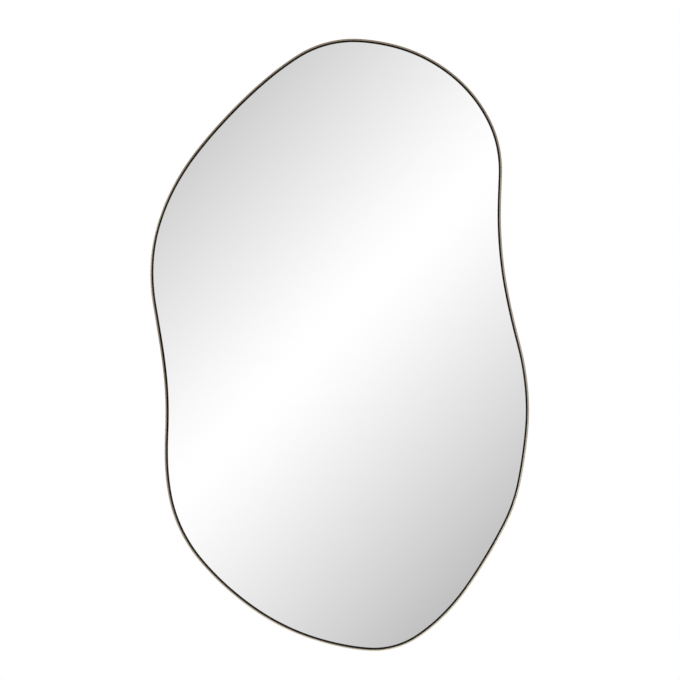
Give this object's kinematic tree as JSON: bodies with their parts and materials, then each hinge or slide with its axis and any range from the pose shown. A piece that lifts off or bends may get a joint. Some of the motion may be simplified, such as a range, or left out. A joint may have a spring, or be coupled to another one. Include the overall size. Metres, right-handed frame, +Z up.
{
  "type": "wall mirror",
  "caption": "Wavy, irregular wall mirror in a thin metal band, on a backing board with strap hangers, swinging D-rings and rubber wall bumpers.",
  "frame": {"origin": "on the wall plane, midway between the two hooks that carry the mirror upright, at the height where its raised D-rings bear on them", "axes": "+Z up, +X to the right as seen from the front, +Y from the glass towards the wall"},
  "size_m": [0.6189, 0.024, 1],
  "materials": {
    "brass_band": "satin",
    "silvered_glass": "polished",
    "board": "matte",
    "bond": "matte",
    "zinc_steel": "satin",
    "bumper_rubber": "matte"
  },
  "bodies": {
    "mirror": {"frame_band": "brass_band", "mirror_glass": "silvered_glass", "backing_board": "board", "bonding_tape_1": "bond", "bonding_tape_2": "bond", "bonding_tape_3": "bond", "bonding_tape_4": "bond", "bonding_tape_5": "bond", "adhesive_bead_1": "bond", "adhesive_bead_2": "bond", "adhesive_bead_3": "bond", "adhesive_bead_4": "bond", "board_lug_1": "brass_band", "board_lug_2": "brass_band", "board_lug_3": "brass_band", "board_lug_4": "brass_band", "board_lug_5": "brass_band", "board_lug_6": "brass_band", "board_lug_7": "brass_band", "board_lug_8": "brass_band", "lug_screws": "zinc_steel", "hanger_screws": "zinc_steel", "hanger_strap_left": "zinc_steel", "hanger_strap_right": "zinc_steel", "hanger_strap_side_upper": "zinc_steel", "hanger_strap_side_lower": "zinc_steel", "wall_bumper_1": "bumper_rubber", "wall_bumper_2": "bumper_rubber", "wall_bumper_3": "bumper_rubber", "wall_bumper_4": "bumper_rubber"},
    "ring_left": {"hanger_ring_left": "zinc_steel"},
    "ring_right": {"hanger_ring_right": "zinc_steel"},
    "ring_side_upper": {"hanger_ring_side_upper": "zinc_steel"},
    "ring_side_lower": {"hanger_ring_side_lower": "zinc_steel"}
  },
  "joints": [
    {"name": "ring_left_swing", "type": "hinge", "parent": "mirror", "child": "ring_left", "pos_m": [-0.15, -0.005, -0.0145], "axis": [1, 0, 0], "range_deg": [0, 180]},
    {"name": "ring_right_swing", "type": "hinge", "parent": "mirror", "child": "ring_right", "pos_m": [0.15, -0.005, -0.0145], "axis": [1, 0, 0], "range_deg": [0, 180]},
    {"name": "ring_side_upper_swing", "type": "hinge", "parent": "mirror", "child": "ring_side_upper", "pos_m": [0.21502, -0.005, -0.07253], "axis": [0, 0, -1], "range_deg": [0, 180]},
    {"name": "ring_side_lower_swing", "type": "hinge", "parent": "mirror", "child": "ring_side_lower", "pos_m": [0.21502, -0.005, -0.47253], "axis": [0, 0, -1], "range_deg": [0, 180]}
  ]
}
